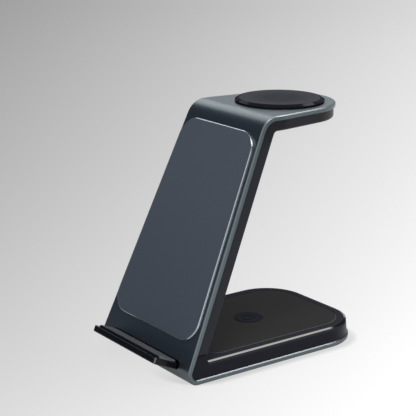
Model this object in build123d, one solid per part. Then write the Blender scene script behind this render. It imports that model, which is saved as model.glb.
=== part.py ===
from build123d import *
import os
from math import acos, atan2, cos, radians, sin, tan

os.makedirs("parts", exist_ok=True)

# Three in one charging stand, in millimetres. A bent aluminium band makes the base, the sloping
# phone face and the top shelf. +X is to the right, -Y faces the phone's side, +Z is up.

# The band, one bent sheet that narrows towards the top
band_thickness = 2.9
band_base_width = 88.0
band_neck_width = 69.4
stand_height = 140.6
lean_angle = 66.0
foot_bend_radius = 6.8
top_bend_radius = 12.0
base_reach = 130.1
base_corner_radius = 26.7
shelf_reach = 129.2
lean_blend_radius = 60.0
shelf_end_share = 0.902
shelf_blend_radius = 24.0
band_edge_break = 0.5

# The phone pad and the window behind it
pad_margin = 2.05
pad_foot = 13.1
pad_length = 120.5
pad_corner_radius = 12.3
pad_proud = 1.7
pad_edge_radius = 0.8
pad_flange = 7.0
pad_rim_wall = 1.2
pad_rim_depth = 1.6

# Black mouldings
cover_inset = 1.0
spine_depth = 7.1
shelf_depth = 5.8
cover_wall = 1.6
cover_inner_radius = 3.0
cover_edge_radius = 1.1
seam_height = 15.4
seam_gap = 0.6
tray_inset = 0.8
tray_draft = 5.0
tray_floor = 1.2
base_top_height = 11.6
top_cover_thickness = 2.0
top_cover_bevel_run = 1.3
top_cover_bevel_drop = 0.5
top_cover_gap = 0.5
top_cover_lip = 1.2

# The earbuds pad
buds_pad_margin = 8.1
buds_pad_front = 22.5
buds_pad_back_margin = 6.8
buds_pad_front_radius = 7.0
buds_pad_back_radius = 19.0
buds_pad_thickness = 0.9
buds_pad_edge_break = 0.25
mark_radius = 9.0
mark_width = 1.4
mark_depth = 0.3
mark_place = 74.5

# The watch puck
puck_place = 96.4
puck_radius = 26.1
puck_height = 2.4
puck_rim_drop = 0.1
puck_lip_width = 0.5
puck_side_top = 1.2
puck_side_foot = 0.6
puck_foot_height = 0.4
puck_pad_radius = 23.7
puck_pad_thickness = 1.1
puck_pad_edge_break = 0.25
puck_pad_land = 0.5
puck_dish = 0.35
puck_dish_rings = 4
puck_foot_radius = 25.2
puck_skirt_radius = 20.7
puck_cup_radius = 19.4
puck_cup_floor = 1.2
puck_sink = 4.6

# The phone ledge
ledge_half_width = 32.2
ledge_root_half_width = 32.6
ledge_reach = 15.5
ledge_bottom = -2.6
ledge_top = 1.0
ledge_corner_radius = 2.2
ledge_nose_radius = 0.8
ledge_edge_radius = 0.4
ledge_rim = 1.9
grip_top = 2.1
grip_seat = 0.2
grip_set_back = 0.4
grip_groove = 0.5
grip_corner_radius = 2.6
slot_side_room = 1.6
slot_low = -2.75
slot_high = 2.55
clamp_high = 9.0
clamp_thickness = 1.8
clamp_half_width = 29.0
ledge_screw_half_pitch = 22.0
ledge_screw_along = 6.0
ledge_screw_land = 0.8

# Coils, boards and wiring
coil_thickness = 1.0
ferrite_thickness = 0.8
phone_coil_radius = 22.0
phone_coil_bore = 10.0
phone_coil_places = (50.0, 96.0)
phone_ferrite_size = (48.0, 92.0)
sheet_corner = 6.0
coil_tray_thickness = 1.2
buds_coil_radius = 21.0
buds_coil_bore = 9.0
watch_coil_radius = 15.0
watch_coil_bore = 6.0
watch_magnet_radius = 4.8
watch_holder_radius = 13.5
watch_screw_circle = 16.6
tray_post_radius = 2.2
tray_post_places = ((-20.0, 36.0), (20.0, 36.0), (-18.0, 110.0), (18.0, 110.0))
board_thickness = 1.2
board_margin = 15.0
board_front = 30.0
board_back_margin = 18.1
board_tongue_half_width = 10.0
board_stand = 0.5
board_screw_inset = (3.0, 4.0)
chip_height = 0.9
can_height = 1.7
flex_width = 8.0
flex_thickness = 0.4
flex_lap = 6.0
flex_bend = 3.0
flex_reach = 90.0

# The charging socket
socket_width = 8.94
socket_height = 3.26
socket_length = 7.3
socket_wall = 0.3
socket_sink = 0.8
socket_recess = 0.6
socket_leg = 1.1
tongue_width = 6.7
tongue_thickness = 0.7
tongue_length = 4.4

# Feet and screws
foot_radius = 5.0
foot_thickness = 1.5
foot_stand = 0.8
foot_front = 18.0
foot_side_margin = 12.0
foot_back_margin = 17.1
foot_back_inset = 5.0
screw_radius = 1.2
screw_head_radius = 2.2
screw_head_height = 1.2
screw_tip_room = 1.0
base_screw_front = 33.0
base_screw_side_margin = 9.5
base_screw_back_margin = 32.1
base_screw_back_inset = 1.5
spine_screw_rows = (22.0, 72.0, 124.0)
boss_wall = 1.3
fit = 0.15
clearance = 0.3

# Worked out from the sizes above
lean = radians(lean_angle)
half_base = band_base_width / 2
half_neck = band_neck_width / 2
slope_start = Vector(0, foot_bend_radius * (1 - sin(lean)), foot_bend_radius * (1 + cos(lean)))
outward = Vector(0, -sin(lean), cos(lean))
face = Plane(origin=slope_start, x_dir=(1, 0, 0), z_dir=outward)
shelf_end_radius = shelf_end_share * half_neck
shelf_centre = shelf_reach - shelf_end_radius
spine_back = band_thickness + spine_depth
band_under = stand_height - band_thickness
shelf_under = band_under - shelf_depth
pad_head = pad_foot + pad_length
cover_seat = base_top_height - top_cover_thickness
board_top = band_thickness + tray_floor + board_stand + board_thickness
socket_level = board_top - socket_sink + socket_height / 2
socket_mouth = base_reach - tray_inset - socket_recess
screw_sink = screw_head_radius - screw_radius
buds_pad_half_width = half_base - buds_pad_margin
buds_pad_back = base_reach - buds_pad_back_margin
board_half_width = half_base - board_margin
board_back = base_reach - board_back_margin
wide = 2 * band_base_width
tall = 2 * stand_height


def behind_face(depth, z):
    """Side view point at height z on the line that runs depth behind the sloping face."""
    along = (z - slope_start.Z + depth * cos(lean)) / sin(lean)
    return (slope_start.Y + along * cos(lean) + depth * sin(lean), z)


riser_back = behind_face(spine_back, seam_height)[0]


def both_sides(half, place):
    """A place on the left and the same place on the right."""
    return [(-half, place), (half, place)]


foot_half = half_base - foot_side_margin
foot_places = both_sides(foot_half, foot_front)
foot_places += both_sides(foot_half - foot_back_inset, base_reach - foot_back_margin)
base_screw_half = half_base - base_screw_side_margin
base_screw_places = both_sides(base_screw_half, base_screw_front)
base_screw_places += both_sides(base_screw_half - base_screw_back_inset, base_reach - base_screw_back_margin)
board_screw_half = board_half_width - board_screw_inset[0]
board_screw_places = both_sides(board_screw_half, board_front + board_screw_inset[1])
board_screw_places += both_sides(board_screw_half, board_back - board_screw_inset[1])
ledge_screw_places = both_sides(ledge_screw_half_pitch, ledge_screw_along)


def slope_height(along):
    """Height above the table side of the band of a place up the sloping face."""
    return slope_start.Z + along * sin(lean)


def half_width(z):
    """Half of the band's width at a height: straight up to the foot bend's end, leaning in above it."""
    share = max(z - slope_start.Z, 0) / (stand_height - slope_start.Z)
    return half_base + (half_neck - half_base) * share


def across(profile):
    """Solid of a closed side view profile, wider than the stand."""
    return extrude(Plane.YZ * make_face(profile), amount=wide / 2, both=True)


def flat_ring(outer, inner, low, high, place):
    """Flat ring about an upright axis at a place along Y."""
    ring = Circle(outer) - Circle(inner)
    return extrude(Plane((0, place, low)) * ring, amount=high - low)


def upright(x, y, low, high, radius):
    """Upright round bar."""
    return extrude(Plane((x, y, low)) * Circle(radius), amount=high - low)


def pin(x, along, low, high, radius):
    """Round bar square to the sloping face, between two heights off it."""
    return face * (Location((x, along, low)) * extrude(Circle(radius), amount=high - low))


def side_mask(inset):
    """Space between the stand's leaning sides, seen from the front."""
    levels = (-stand_height, slope_start.Z, 2 * stand_height)
    right = FilletPolyline(*[(half_width(z) - inset, z) for z in levels], radius=lean_blend_radius)
    left = mirror(right, Plane.YZ)
    outline = right + left + Line(right @ 0, left @ 0) + Line(right @ 1, left @ 1)
    return extrude(Plane.XZ * make_face(outline), amount=tall, both=True)


def base_plan(inset):
    """Plan of the base: straight sides and a back end with large corners."""
    half = half_base - inset
    back = base_reach - inset
    plan = make_face(Polyline((-half, -wide), (half, -wide), (half, back), (-half, back), close=True))
    corners = plan.vertices().sort_by(Axis.Y)[-2:]
    return fillet(corners, base_corner_radius - inset)


def shelf_plan(inset, depth, level, radius):
    """Plan of the shelf: sides that close in behind the bend of an under side, up to the round end."""
    start = behind_face(depth, level)[0] + radius * tan(lean / 2) + 2 * cover_edge_radius
    end_radius = shelf_end_radius - inset
    neck = half_width(level) + clearance - inset
    away = start - shelf_centre
    turn = atan2(away, neck) + acos(end_radius / (neck**2 + away**2) ** 0.5)
    touch = (end_radius * cos(turn), shelf_centre + end_radius * sin(turn))
    sides = Polyline((-touch[0], touch[1]), (-neck, start), (-wide, start), (-wide, -wide),
                     (wide, -wide), (wide, start), (neck, start), touch)
    end = ThreePointArc(touch, (0, shelf_centre + end_radius), (-touch[0], touch[1]))
    return make_face(sides + end)


def plan_mask(inset, depth, level, radius):
    """Space inside the plan of the base below mid height and of the shelf above it."""
    middle = stand_height / 2
    low = extrude(Plane((0, 0, -middle)) * base_plan(inset), amount=2 * middle)
    high = extrude(Plane((0, 0, middle)) * shelf_plan(inset, depth, level, radius), amount=2 * middle)
    return low + high


def blend_turn(sheet):
    """Round the upright edges where the leaning sides turn into the closing sides of the shelf."""
    front = behind_face(spine_back, shelf_under)[0]
    turns = [e for e in sheet.edges() if front < e.center().Y < shelf_centre and e.center().Z > shelf_under
             and abs(e.tangent_at(0.5).Z) > 0.3 and abs(abs(e.center().X) - half_neck) < 2 * cover_wall]
    return fillet(turns, shelf_blend_radius)


def bent_path(depth, foot_radius_here, top_radius_here):
    """Side view line of the bent sheet at a depth below its outer face."""
    return FilletPolyline(
        (base_reach + depth, depth),
        behind_face(depth, depth),
        behind_face(depth, stand_height - depth),
        (shelf_reach + depth, stand_height - depth),
        radius=[foot_radius_here, top_radius_here],
    )


def outline_edges(sheet):
    """Edges that run round the outline of a bent sheet or shell, on both of its faces."""
    rim = [f for f in sheet.faces() if is_rim(f)]
    found = []
    for f in rim:
        for e in f.edges():
            shared = [g for g in rim if g is not f and any(e.is_same(x) for x in g.edges())]
            if not shared:
                found.append(e)
    return found


def is_rim(f):
    """Whether a face of the sheet is part of its thin edge."""
    normal = f.normal_at(f.center())
    across_x = abs(normal.X) > 0.5
    at_back = f.center().Y > shelf_centre and abs(normal.Z) < 0.3
    return across_x or at_back


def pad_plan(inset):
    """Outline on the sloping face that follows the band's edges at the pad's margin."""
    low = pad_foot + inset
    high = pad_head - inset
    half_low = half_width(slope_height(low)) - pad_margin - inset
    half_high = half_width(slope_height(high)) - pad_margin - inset
    right = [(half_low, low), (half_high, high)]
    left = [(-half_high, high), (-half_low, low)]
    plan = make_face(Polyline(*right, *left, close=True))
    return fillet(plan.vertices(), pad_corner_radius - inset)


def spine_screw_places():
    """Places on the sloping face of the screws that hold the spine cover."""
    places = []
    for along in spine_screw_rows:
        x = half_width(slope_height(along)) - pad_margin - pad_flange / 2
        places += [(-x, along), (x, along)]
    return places


def ledge_slot():
    """Cutter for the slot that the ledge passes through."""
    length = 2 * (ledge_root_half_width + slot_side_room)
    cutter = extrude(SlotOverall(length, slot_high - slot_low), amount=foot_bend_radius, both=True)
    return face * (Location((0, (slot_low + slot_high) / 2, 0)) * cutter)


def sunk_hole():
    """Cutter for a screw hole through the band, with a cone for its head at the top."""
    depth = 2 * band_thickness
    cone = Location((0, 0, -screw_sink / 2)) * Cone(screw_radius + fit, screw_head_radius + fit, screw_sink)
    hole = Location((0, 0, -depth / 2)) * Cylinder(screw_radius + fit, depth)
    return cone + hole


def make_band():
    outer = bent_path(0, foot_bend_radius, top_bend_radius)
    inner = bent_path(band_thickness, foot_bend_radius - band_thickness, top_bend_radius - band_thickness)
    ends = Line(outer @ 0, inner @ 0) + Line(outer @ 1, inner @ 1)
    bend = (band_thickness, band_under, top_bend_radius - band_thickness)
    sheet = blend_turn(across(outer + inner + ends) & side_mask(0) & plan_mask(0, *bend))
    sheet = chamfer(outline_edges(sheet), band_edge_break)
    sheet -= face * extrude(pad_plan(pad_flange), amount=2 * band_thickness, both=True)
    sheet -= ledge_slot()
    sheet -= upright(0, puck_place, shelf_under, tall, puck_skirt_radius + clearance)
    for x, along in spine_screw_places():
        sheet -= face * (Location((x, along, 0)) * sunk_hole())
    for x, y in base_screw_places:
        sheet -= Plane((x, y, 0), z_dir=(0, 0, -1)) * sunk_hole()
    for x, along in ledge_screw_places:
        sheet -= pin(x, along, -2 * band_thickness, -ledge_screw_land, screw_radius + fit)
    for x, y in foot_places:
        sheet -= upright(x, y, -1, foot_thickness - foot_stand, foot_radius + fit)
    return sheet


def make_phone_pad():
    plate = extrude(pad_plan(0), amount=pad_proud)
    plate = fillet(plate.edges().group_by(Axis.Z)[-1], pad_edge_radius)
    step = pad_flange + clearance
    rim = pad_plan(step) - pad_plan(step + pad_rim_wall)
    return face * (plate + extrude(rim, amount=-pad_rim_depth))


def make_phone_coil(along):
    ring = Circle(phone_coil_radius) - Circle(phone_coil_bore)
    return face * (Location((0, along, -coil_thickness)) * extrude(ring, amount=coil_thickness))


def make_phone_ferrite():
    middle = sum(phone_coil_places) / len(phone_coil_places)
    sheet = extrude(RectangleRounded(*phone_ferrite_size, sheet_corner), amount=ferrite_thickness)
    return face * (Location((0, middle, -coil_thickness - ferrite_thickness)) * sheet)


def make_coil_tray():
    top = -coil_thickness - ferrite_thickness
    plate = extrude(pad_plan(pad_flange + clearance), amount=-coil_tray_thickness)
    return face * (Location((0, 0, top)) * plate)


def spine_profile(front, back, under, low, corner):
    """Side view between the lines front and back behind the face, turning in under the shelf."""
    far = shelf_reach + wide
    near_band = FilletPolyline(behind_face(front, low), behind_face(front, stand_height - front),
                               (far, stand_height - front), radius=top_bend_radius - front)
    away = FilletPolyline(behind_face(back, low), behind_face(back, under), (far, under), radius=corner)
    return near_band + away + Line(near_band @ 0, away @ 0) + Line(near_band @ 1, away @ 1)


def depth_in(point):
    """How deep a point lies behind the band's outer face, on the slope or under the shelf."""
    return min(-(point - slope_start).dot(outward), stand_height - point.Z)


def make_spine_cover():
    low = seam_height + seam_gap
    shell = across(spine_profile(band_thickness, spine_back, shelf_under, low, cover_inner_radius))
    bend = (spine_back, shelf_under, cover_inner_radius)
    shell = blend_turn(shell & side_mask(cover_inset) & plan_mask(cover_inset, *bend))
    middle = band_thickness + shelf_depth / 2
    edges = [e for e in outline_edges(shell) if depth_in(e.center()) > middle and e.center().Z > low + fit]
    shell = fillet(edges, cover_edge_radius)
    inside = cover_inset + cover_wall
    hollow = across(spine_profile(band_thickness - 1, spine_back - cover_wall, shelf_under + cover_wall,
                                  seam_height - 1, cover_inner_radius + cover_wall))
    shell -= hollow & side_mask(inside) & plan_mask(inside, *bend)
    floor = spine_back - cover_wall / 2
    for x, along in spine_screw_places():
        boss = pin(x, along, -floor, -band_thickness, screw_radius + boss_wall)
        reach = half_width(slope_height(along)) - cover_inset - cover_wall / 2 - abs(x)
        rib = Box(reach, boss_wall, floor - band_thickness)
        side = 1 if x > 0 else -1
        rib = Location((x + side * reach / 2, along, -(floor + band_thickness) / 2)) * rib
        shell += boss + face * rib
        shell -= pin(x, along, -spine_back + cover_wall, 0, screw_radius)
    seat = coil_thickness + ferrite_thickness + coil_tray_thickness
    for x, along in tray_post_places:
        shell += pin(x, along, -floor, -seat, tray_post_radius)
    puck_floor = stand_height - puck_sink
    for x, y in puck_screw_places():
        shell += upright(x, y, shelf_under + cover_wall / 2, puck_floor, screw_radius + boss_wall)
        shell -= upright(x, y, shelf_under + cover_wall, puck_floor, screw_radius)
    return shell


def base_block(inset, high):
    """Space inside the drafted side walls of the base, from the band up."""
    plan = Plane((0, 0, band_thickness)) * base_plan(tray_inset + inset)
    return extrude(plan, amount=high - band_thickness, taper=tray_draft)


def make_base_tray():
    far = base_reach + wide
    front = FilletPolyline((far, band_thickness), behind_face(band_thickness, band_thickness),
                           behind_face(band_thickness, seam_height), radius=foot_bend_radius - band_thickness)
    riser = [(riser_back, seam_height), (riser_back, cover_seat)]
    top = Polyline(front @ 1, *riser, (far, cover_seat), front @ 0)
    tray = across(front + top) & base_block(0, seam_height)
    floor = band_thickness + tray_floor
    open_front = band_thickness - 1
    lintel = cover_seat - cover_wall
    inner_wall = riser_back - cover_wall
    hollow = Polyline((far, floor), behind_face(open_front, floor), behind_face(open_front, seam_height + 1),
                      (inner_wall, seam_height + 1), (inner_wall, lintel), (riser_back, lintel),
                      (riser_back, seam_height), (far, seam_height), close=True)
    tray -= across(hollow) & base_block(cover_wall, seam_height + 1)
    for x, y in base_screw_places:
        tray -= upright(x, y, 0, seam_height, screw_radius + fit)
    for x, y in board_screw_places:
        tray += upright(x, y, floor - tray_floor / 2, floor + board_stand, screw_radius + boss_wall)
        tray -= upright(x, y, band_thickness + tray_floor / 2, cover_seat, screw_radius)
    return tray - socket_cutter()


def socket_cutter():
    """Cutter for the socket's window in the back wall."""
    window = extrude(SlotOverall(socket_width + 2 * fit, socket_height + 2 * fit), amount=socket_length)
    mouth = Plane((0, base_reach, socket_level), x_dir=(1, 0, 0), z_dir=(0, -1, 0))
    return mouth * window


def buds_pad_plan(inset):
    """Plan of the earbuds pad."""
    half = buds_pad_half_width - inset
    front = buds_pad_front + inset
    back = buds_pad_back - inset
    plan = make_face(Polyline((-half, front), (half, front), (half, back), (-half, back), close=True))
    ends = plan.vertices().sort_by(Axis.Y)
    plan = fillet(ends[-2:], buds_pad_back_radius - inset)
    front_ends = plan.vertices().sort_by(Axis.Y)[:2]
    return fillet(front_ends, buds_pad_front_radius - inset)


def make_base_top_cover():
    cover = base_block(0, base_top_height)
    start = riser_back + top_cover_gap
    keep = Box(wide, wide, top_cover_thickness, align=(Align.CENTER, Align.MIN, Align.MIN))
    cover = cover & (Location((0, start, cover_seat)) * keep)
    top_face = cover.faces().sort_by(Axis.Z)[-1]
    edges = [e for e in top_face.edges() if e.center().Y > start + 1]
    cover = chamfer(edges, top_cover_bevel_run, top_cover_bevel_drop, reference=top_face)
    recess = extrude(Plane((0, 0, base_top_height)) * buds_pad_plan(-fit), amount=-buds_pad_thickness)
    cover -= recess
    for x, y in base_screw_places:
        boss = upright(x, y, band_thickness + tray_floor, cover_seat, screw_radius + boss_wall)
        cover += boss
        cover -= upright(x, y, band_thickness, cover_seat, screw_radius)
    lip = base_block(cover_wall + fit, cover_seat) - base_block(cover_wall + fit + cover_wall / 2, cover_seat)
    band = Box(wide, wide, top_cover_lip, align=(Align.CENTER, Align.MIN, Align.MAX))
    cover += lip & (Location((0, riser_back + cover_wall, cover_seat)) * band)
    return cover


def make_earbuds_pad():
    low = Plane((0, 0, base_top_height - buds_pad_thickness))
    pad = extrude(low * buds_pad_plan(0), amount=buds_pad_thickness)
    pad = chamfer(pad.edges().group_by(Axis.Z)[-1], buds_pad_edge_break)
    floor = base_top_height - mark_depth
    for outer in (mark_radius, mark_radius / 2):
        pad -= flat_ring(outer, outer - mark_width, floor, tall, mark_place)
    return pad


def make_buds_coil():
    return flat_ring(buds_coil_radius, buds_coil_bore, cover_seat - coil_thickness, cover_seat, mark_place)


def make_buds_ferrite():
    side = 2 * buds_coil_radius + clearance
    low = cover_seat - coil_thickness - ferrite_thickness
    plan = Plane((0, mark_place, low)) * RectangleRounded(side, side, sheet_corner)
    return extrude(plan, amount=ferrite_thickness)


def puck_screw_places():
    """Places of the screws that hold the watch puck, round its middle."""
    ring = PolarLocations(watch_screw_circle, 3, start_angle=90)
    return [(p.position.X, p.position.Y + puck_place) for p in ring]


def turned(points):
    """Solid of half a section, turned about the puck's upright axis."""
    solid = revolve(Plane.XZ * make_face(Polyline(*points, close=True)), Axis.Z)
    return Location((0, puck_place, stand_height)) * solid


def make_puck_body():
    top = puck_height - puck_rim_drop
    shoulder = puck_height - puck_pad_thickness
    hold = puck_pad_radius + fit
    section = [
        (0, -puck_sink), (puck_skirt_radius, -puck_sink), (puck_skirt_radius, 0), (puck_foot_radius, 0),
        (puck_foot_radius, puck_foot_height), (puck_radius, puck_side_foot), (puck_radius, puck_side_top),
        (hold + puck_lip_width, top), (hold, top), (hold, shoulder), (puck_cup_radius, shoulder),
        (puck_cup_radius, puck_cup_floor - puck_sink), (0, puck_cup_floor - puck_sink),
    ]
    body = turned(section)
    for x, y in puck_screw_places():
        body -= upright(x, y, 0, stand_height, screw_radius + fit)
    return body


def dish_height(out):
    """Height of the watch pad's dished top at a distance from its middle."""
    share = out / (puck_pad_radius - puck_pad_land)
    return puck_height - puck_dish * (1 - share**2)


def make_watch_pad():
    low = puck_height - puck_pad_thickness
    rim = puck_pad_radius - puck_pad_edge_break
    side_top = puck_height - puck_pad_edge_break
    section = [(0, low), (puck_pad_radius, low), (puck_pad_radius, side_top), (rim, puck_height)]
    for ring in range(puck_dish_rings, -1, -1):
        out = (puck_pad_radius - puck_pad_land) * ring / puck_dish_rings
        section.append((out, dish_height(out)))
    return turned(section)


def make_watch_coil():
    high = stand_height + puck_height - puck_pad_thickness
    return flat_ring(watch_coil_radius, watch_coil_bore, high - coil_thickness, high, puck_place)


def make_watch_ferrite():
    high = stand_height + puck_height - puck_pad_thickness - coil_thickness
    bore = watch_magnet_radius + clearance
    return flat_ring(watch_coil_radius, bore, high - ferrite_thickness, high, puck_place)


def make_watch_holder():
    high = stand_height + puck_height - puck_pad_thickness - coil_thickness - ferrite_thickness
    low = stand_height - puck_sink + puck_cup_floor
    return flat_ring(watch_holder_radius, watch_magnet_radius + clearance, low, high, puck_place)


def make_watch_magnet():
    low = stand_height - puck_sink + puck_cup_floor
    high = stand_height + puck_height - puck_pad_thickness
    return upright(0, puck_place, low, high, watch_magnet_radius)


def ledge_half(place):
    """Half of the ledge's width, which grows from the face to its front edge."""
    share = max(-place, 0) / ledge_reach
    return ledge_root_half_width + (ledge_half_width - ledge_root_half_width) * share


def ledge_plan(inset, back, corner):
    """Plan of the ledge square to the face, from back behind the face to its front edge."""
    places = [back, 0, inset - ledge_reach] if back > 0 else [back, inset - ledge_reach]
    right = [(ledge_half(place) - inset, place) for place in places]
    left = [(-x, y) for x, y in reversed(right)]
    plan = make_face(Polyline(*right, *left, close=True))
    return fillet(plan.vertices().sort_by(Axis.Y)[:2], corner)


def ledge_at(along):
    """Plane square to the face at a place up it, with its local Y pointing into the stand."""
    along_way = Vector(0, cos(lean), sin(lean))
    return Plane(origin=slope_start + along_way * along, x_dir=(1, 0, 0), z_dir=along_way)


def make_phone_ledge():
    behind = band_thickness + clamp_thickness
    thick = ledge_top - ledge_bottom
    body = extrude(ledge_plan(0, behind, ledge_corner_radius), amount=thick)
    low = [e for e in body.edges().group_by(Axis.Z)[0] if e.center().Y < behind - fit]
    body = fillet(low, ledge_nose_radius)
    high = [e for e in body.edges().group_by(Axis.Z)[-1] if e.center().Y < behind - fit]
    body = ledge_at(ledge_bottom) * fillet(high, ledge_edge_radius)
    recess = ledge_plan(ledge_rim - grip_groove, fit - grip_set_back, grip_corner_radius + grip_groove)
    body -= ledge_at(grip_seat) * extrude(recess, amount=thick)
    tall_clamp = clamp_high - ledge_bottom
    clamp = Box(2 * clamp_half_width, tall_clamp, clamp_thickness, align=(Align.CENTER, Align.MIN, Align.MAX))
    body += face * (Location((0, ledge_bottom, -band_thickness)) * clamp)
    for x, along in ledge_screw_places:
        body -= pin(x, along, -tall, 0, screw_radius + fit)
    return body


def make_ledge_grip():
    strip = extrude(ledge_plan(ledge_rim, -grip_set_back, grip_corner_radius), amount=grip_top - grip_seat)
    strip = fillet(strip.edges().group_by(Axis.Z)[-1], ledge_edge_radius)
    return ledge_at(grip_seat) * strip


def make_board():
    low = band_thickness + tray_floor + board_stand
    half = board_half_width
    tongue = board_tongue_half_width
    end = base_reach - tray_inset - cover_wall - 2 * clearance
    right = [(half, board_front), (half, board_back), (tongue, board_back), (tongue, end)]
    left = [(-x, y) for x, y in reversed(right)]
    plan = make_face(Polyline(*right, *left, close=True))
    board = extrude(Plane((0, 0, low)) * plan, amount=board_thickness)
    room = Box(socket_width + 2 * fit, 2 * socket_length, tall)
    board -= Location((0, socket_mouth, low)) * room
    for x, y in board_screw_places:
        board -= upright(x, y, 0, seam_height, screw_radius + fit)
    return board


def on_board(across_share, along_share):
    """Place on the board, from shares of its half width and of its length."""
    return across_share * board_half_width, board_front + along_share * (board_back - board_front)


def make_board_parts():
    """Driver chips, coils and capacitors that stand on the board."""
    chips = [(-0.62, 0.24, 7.0), (0.55, 0.22, 6.0), (0, 0.39, 8.0), (-0.48, 0.8, 6.0)]
    cans = [(0.28, 0.8, 2.6), (0.55, 0.8, 2.6), (-0.69, 0.51, 2.2), (0.76, 0.51, 2.2)]
    parts = []
    for aside, ahead, width in chips:
        chip = extrude(Rectangle(width, width), amount=chip_height)
        parts.append(Location((*on_board(aside, ahead), board_top)) * chip)
    for aside, ahead, radius in cans:
        parts.append(upright(*on_board(aside, ahead), board_top, board_top + can_height, radius))
    return Compound(parts)


def make_socket_shell():
    outer = SlotOverall(socket_width, socket_height)
    inner = SlotOverall(socket_width - 2 * socket_wall, socket_height - 2 * socket_wall)
    plane = Plane((0, socket_mouth, socket_level), x_dir=(1, 0, 0), z_dir=(0, -1, 0))
    shell = plane * extrude(outer - inner, amount=socket_length)
    for side in (-1, 1):
        for back in (0.3, 0.8):
            leg = Box(socket_leg + socket_height / 2, socket_leg, socket_wall)
            x = side * (socket_width / 2 + socket_leg / 2 - socket_height / 4)
            foot = Location((x, socket_mouth - back * socket_length, board_top + socket_wall / 2)) * leg
            shell += foot - plane * extrude(outer, amount=socket_length)
    return shell


def make_socket_tongue():
    gap = socket_wall
    block = SlotOverall(socket_width - 2 * gap, socket_height - 2 * gap)
    depth = socket_length - tongue_length - clearance
    back = Plane((0, socket_mouth - socket_length, socket_level), x_dir=(1, 0, 0), z_dir=(0, 1, 0))
    tongue = Box(tongue_width, tongue_thickness, tongue_length, align=(Align.CENTER, Align.CENTER, Align.MIN))
    return back * (extrude(block, amount=depth) + Location((0, 0, depth)) * tongue)


def flex_line(shift):
    """Side view line of the flat cable, moved towards the band by shift."""
    low = board_top + flex_thickness / 2 - shift
    depth = spine_back - cover_wall - flex_thickness / 2 - shift
    high = shelf_under + cover_wall + flex_thickness / 2 + shift
    turn = cover_inner_radius + cover_wall + flex_thickness / 2 + shift
    return FilletPolyline((board_front + flex_lap, low), behind_face(depth, low), behind_face(depth, high),
                          (flex_reach, high), radius=[flex_bend + shift, turn])


def make_flex_cable():
    near = flex_line(flex_thickness / 2)
    away = flex_line(-flex_thickness / 2)
    outline = near + away + Line(near @ 0, away @ 0) + Line(near @ 1, away @ 1)
    return extrude(Plane.YZ * make_face(outline), amount=flex_width / 2, both=True)


def make_foot(x, y):
    foot = upright(x, y, -foot_stand, foot_thickness - foot_stand, foot_radius)
    return chamfer(foot.edges().group_by(Axis.Z)[0], foot_stand / 2)


def cross_slot():
    """Cutter for a screw's cross recess, at the top of its head."""
    blade = Box(1.5 * screw_head_radius, screw_radius / 2, screw_head_height)
    return blade + Rot(0, 0, 90) * blade


def sunk_screw(length):
    """Screw with a flat sunk head, its head's face at zero and its tip down."""
    head = Location((0, 0, -screw_sink / 2)) * Cone(screw_radius, screw_head_radius, screw_sink)
    shank = Location((0, 0, -length / 2)) * Cylinder(screw_radius, length)
    return head + shank - cross_slot()


def pan_screw(length):
    """Screw with a flat round head that stands on zero, and its tip down."""
    head = Location((0, 0, screw_head_height / 2)) * Cylinder(screw_head_radius, screw_head_height)
    shank = Location((0, 0, -length / 2)) * Cylinder(screw_radius, length)
    return head + shank - Location((0, 0, screw_head_height)) * cross_slot()


def make_base_screws():
    length = cover_seat - screw_tip_room
    return Compound([Plane((x, y, 0), z_dir=(0, 0, -1)) * sunk_screw(length) for x, y in base_screw_places])


def make_spine_screws():
    length = spine_back - cover_wall - screw_tip_room
    return Compound([face * (Location((x, s, 0)) * sunk_screw(length)) for x, s in spine_screw_places()])


def make_puck_screws():
    seat = stand_height - puck_sink + puck_cup_floor
    length = seat - shelf_under - cover_wall - clearance
    return Compound([Location((x, y, seat)) * pan_screw(length) for x, y in puck_screw_places()])


def make_ledge_screws():
    seat = -band_thickness - clamp_thickness
    length = -seat - ledge_screw_land - fit
    turned_round = Rot(180, 0, 0) * pan_screw(length)
    return Compound([face * (Location((x, s, seat)) * turned_round) for x, s in ledge_screw_places])


def make_board_screws():
    length = board_top - band_thickness - tray_floor / 2 - fit
    return Compound([Location((x, y, board_top)) * pan_screw(length) for x, y in board_screw_places])


nodes = {
    "band_frame": make_band(),
    "phone_pad": make_phone_pad(),
    "phone_coil_lower": make_phone_coil(phone_coil_places[0]),
    "phone_coil_upper": make_phone_coil(phone_coil_places[1]),
    "phone_ferrite": make_phone_ferrite(),
    "coil_tray": make_coil_tray(),
    "spine_cover": make_spine_cover(),
    "base_tray": make_base_tray(),
    "base_top_cover": make_base_top_cover(),
    "earbuds_pad": make_earbuds_pad(),
    "earbuds_coil": make_buds_coil(),
    "earbuds_ferrite": make_buds_ferrite(),
    "watch_puck": make_puck_body(),
    "watch_pad": make_watch_pad(),
    "watch_coil": make_watch_coil(),
    "watch_ferrite": make_watch_ferrite(),
    "watch_holder": make_watch_holder(),
    "watch_magnet": make_watch_magnet(),
    "phone_ledge": make_phone_ledge(),
    "ledge_grip": make_ledge_grip(),
    "main_board": make_board(),
    "board_parts": make_board_parts(),
    "socket_shell": make_socket_shell(),
    "socket_tongue": make_socket_tongue(),
    "flex_cable": make_flex_cable(),
    "base_screws": make_base_screws(),
    "spine_screws": make_spine_screws(),
    "puck_screws": make_puck_screws(),
    "ledge_screws": make_ledge_screws(),
    "board_screws": make_board_screws(),
}
foot_names = ("foot_front_left", "foot_front_right", "foot_back_left", "foot_back_right")
for name, place in zip(foot_names, foot_places):
    nodes[name] = make_foot(*place)

# The origin goes under the middle of the whole stand, on the table
boxes = [solid.bounding_box() for solid in nodes.values()]
middle_y = (min(b.min.Y for b in boxes) + max(b.max.Y for b in boxes)) / 2
to_origin = Location((0, -middle_y, foot_stand))
for name, solid in nodes.items():
    export_step(to_origin * solid, "parts/" + name + ".step")
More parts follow.
